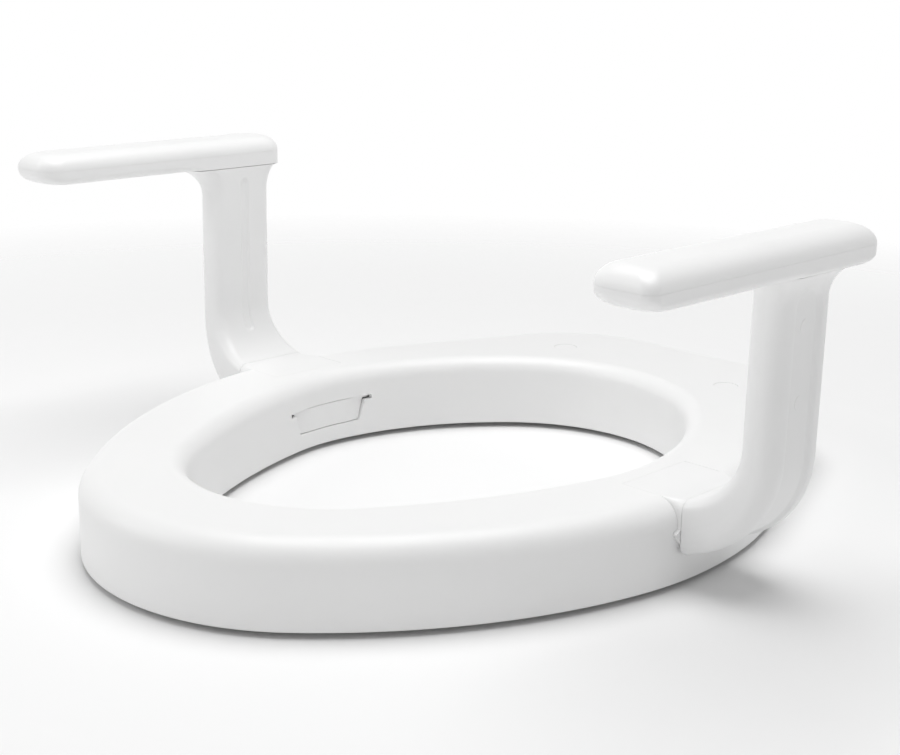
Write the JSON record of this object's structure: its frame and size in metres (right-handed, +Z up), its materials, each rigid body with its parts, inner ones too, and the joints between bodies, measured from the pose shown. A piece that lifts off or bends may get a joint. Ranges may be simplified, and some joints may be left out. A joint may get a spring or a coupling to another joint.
{
  "type": "raised toilet seat",
  "caption": "Raised toilet seat ring with plug-in arms: hollow moulded ring on bumpers, armrests on curved uprights that pull out sideways, release tabs in the hole wall.",
  "frame": {"origin": "under the middle of the seat, on the plane that the bumpers rest on", "axes": "+Z up; the user faces -Y, so the rounded front of the ring is at -Y; +X is to the right seen from the front; X is across the arms"},
  "size_m": [0.505, 0.5013, 0.201],
  "materials": {
    "seat_plastic": "white satin moulded plastic",
    "arm_plastic": "white satin moulded plastic",
    "base_plastic": "off-white matt plastic",
    "socket_plastic": "natural nylon",
    "rubber": "matt grey rubber",
    "steel": "bent flat steel bar",
    "screw_steel": "stainless screws"
  },
  "bodies": {
    "seat": {"arm_socket_left": "socket_plastic", "arm_socket_right": "socket_plastic", "base_plate": "base_plastic", "base_screw_1": "screw_steel", "base_screw_2": "screw_steel", "base_screw_3": "screw_steel", "base_screw_4": "screw_steel", "base_screw_5": "screw_steel", "base_screw_6": "screw_steel", "base_screw_7": "screw_steel", "base_screw_8": "screw_steel", "bolt_cap_left": "seat_plastic", "bolt_cap_right": "seat_plastic", "bolt_sleeve_left": "socket_plastic", "bolt_sleeve_right": "socket_plastic", "bumper_front_left": "rubber", "bumper_front_right": "rubber", "bumper_rear_left": "rubber", "bumper_rear_right": "rubber", "seat_shell": "seat_plastic", "socket_screw_front_left": "screw_steel", "socket_screw_front_right": "screw_steel", "socket_screw_rear_left": "screw_steel", "socket_screw_rear_right": "screw_steel"},
    "left_arm": {"arm_core_left": "steel", "armrest_base_left": "arm_plastic", "armrest_cover_left": "arm_plastic", "armrest_screw_1_left": "screw_steel", "armrest_screw_2_left": "screw_steel", "armrest_screw_3_left": "screw_steel", "foot_block_left": "arm_plastic", "foot_screw_1_left": "screw_steel", "foot_screw_2_left": "screw_steel", "upright_inner_shell_left": "arm_plastic", "upright_outer_shell_left": "arm_plastic"},
    "right_arm": {"arm_core_right": "steel", "armrest_base_right": "arm_plastic", "armrest_cover_right": "arm_plastic", "armrest_screw_1_right": "screw_steel", "armrest_screw_2_right": "screw_steel", "armrest_screw_3_right": "screw_steel", "foot_block_right": "arm_plastic", "foot_screw_1_right": "screw_steel", "foot_screw_2_right": "screw_steel", "upright_inner_shell_right": "arm_plastic", "upright_outer_shell_right": "arm_plastic"},
    "left_tab": {"release_tab_left": "seat_plastic"},
    "right_tab": {"release_tab_right": "seat_plastic"}
  },
  "joints": [
    {"name": "left_arm_slide", "type": "slide", "parent": "seat", "child": "left_arm", "axis": [-1, 0, 0], "range_m": [0, 0.04]},
    {"name": "right_arm_slide", "type": "slide", "parent": "seat", "child": "right_arm", "axis": [1, 0, 0], "range_m": [0, 0.04]},
    {"name": "left_tab_press", "type": "hinge", "parent": "seat", "child": "left_tab", "pos_m": [-0.1294, 0.003, 0.0312], "axis": [0, 1, 0], "range_deg": [0, 9], "stiffness_Nm_per_rad": 0.25, "springref_deg": -1.15},
    {"name": "right_tab_press", "type": "hinge", "parent": "seat", "child": "right_tab", "pos_m": [0.1294, 0.003, 0.0312], "axis": [0, -1, 0], "range_deg": [0, 9], "stiffness_Nm_per_rad": 0.25, "springref_deg": -1.15}
  ]
}
